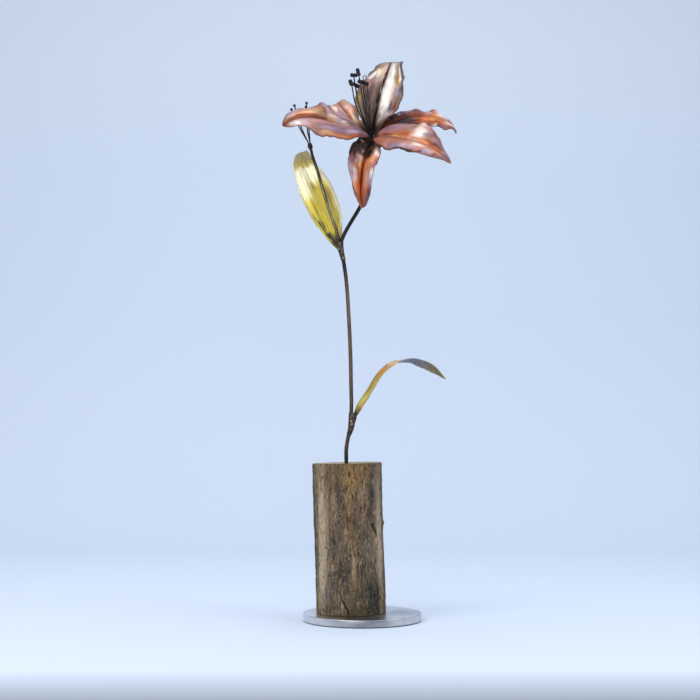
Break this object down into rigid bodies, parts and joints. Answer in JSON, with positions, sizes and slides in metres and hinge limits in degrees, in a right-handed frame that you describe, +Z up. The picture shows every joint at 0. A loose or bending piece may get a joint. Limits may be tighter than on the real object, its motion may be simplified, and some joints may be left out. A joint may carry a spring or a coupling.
{
  "type": "metal lily sculpture on a log",
  "caption": "Handmade metal lily in bloom with curling copper petals, dark wire stamens and buds and brass leaves, on a bent rod standing in a weathered log on a round steel plate.",
  "frame": {"origin": "centre of the round plate's underside", "axes": "+Z up, +X to the right seen from the front, +Y away from the front"},
  "size_m": [0.224, 0.1624, 0.7286],
  "materials": {
    "plate_steel": "round plate with fine turned lines, satin",
    "screw_steel": "plain zinc-grey countersunk screws",
    "weathered_wood": "debarked, weathered grey-brown with fine upright grain, drying cracks and dark streaks",
    "brown_rod": "brown-black flame-darkened rod, satin",
    "dark_rod": "near-black flame-darkened wire and rod, satin",
    "brass_braze": "lumpy brazing brass, darkened, with small bright spots",
    "leaf_brass": "bright yellow brass sheet with olive heat patches and brushed streaks",
    "petal_copper": null
  },
  "bodies": {
    "root": {"base_plate": "plate_steel", "base_screw_1": "screw_steel", "base_screw_2": "screw_steel", "log": "weathered_wood", "stem": "brown_rod", "leaf_braze": "brass_braze", "fork_braze": "brass_braze", "bud_stalk": "dark_rod", "bud_collar": "dark_rod", "bud_1": "dark_rod", "bud_2": "dark_rod", "bud_3": "dark_rod", "bud_4": "dark_rod", "leaf_upper": "leaf_brass", "leaf_lower": "leaf_brass", "flower_hub": "dark_rod", "petal_left": "petal_copper", "petal_back_left": "petal_copper", "petal_top": "petal_copper", "petal_back_right": "petal_copper", "petal_right": "petal_copper", "petal_front": "petal_copper", "filament_1": "dark_rod", "anther_1": "dark_rod", "filament_2": "dark_rod", "anther_2": "dark_rod", "filament_3": "dark_rod", "anther_3": "dark_rod", "filament_4": "dark_rod", "anther_4": "dark_rod", "filament_5": "dark_rod", "anther_5": "dark_rod", "filament_6": "dark_rod", "anther_6": "dark_rod", "pistil": "dark_rod"}
  },
  "joints": []
}
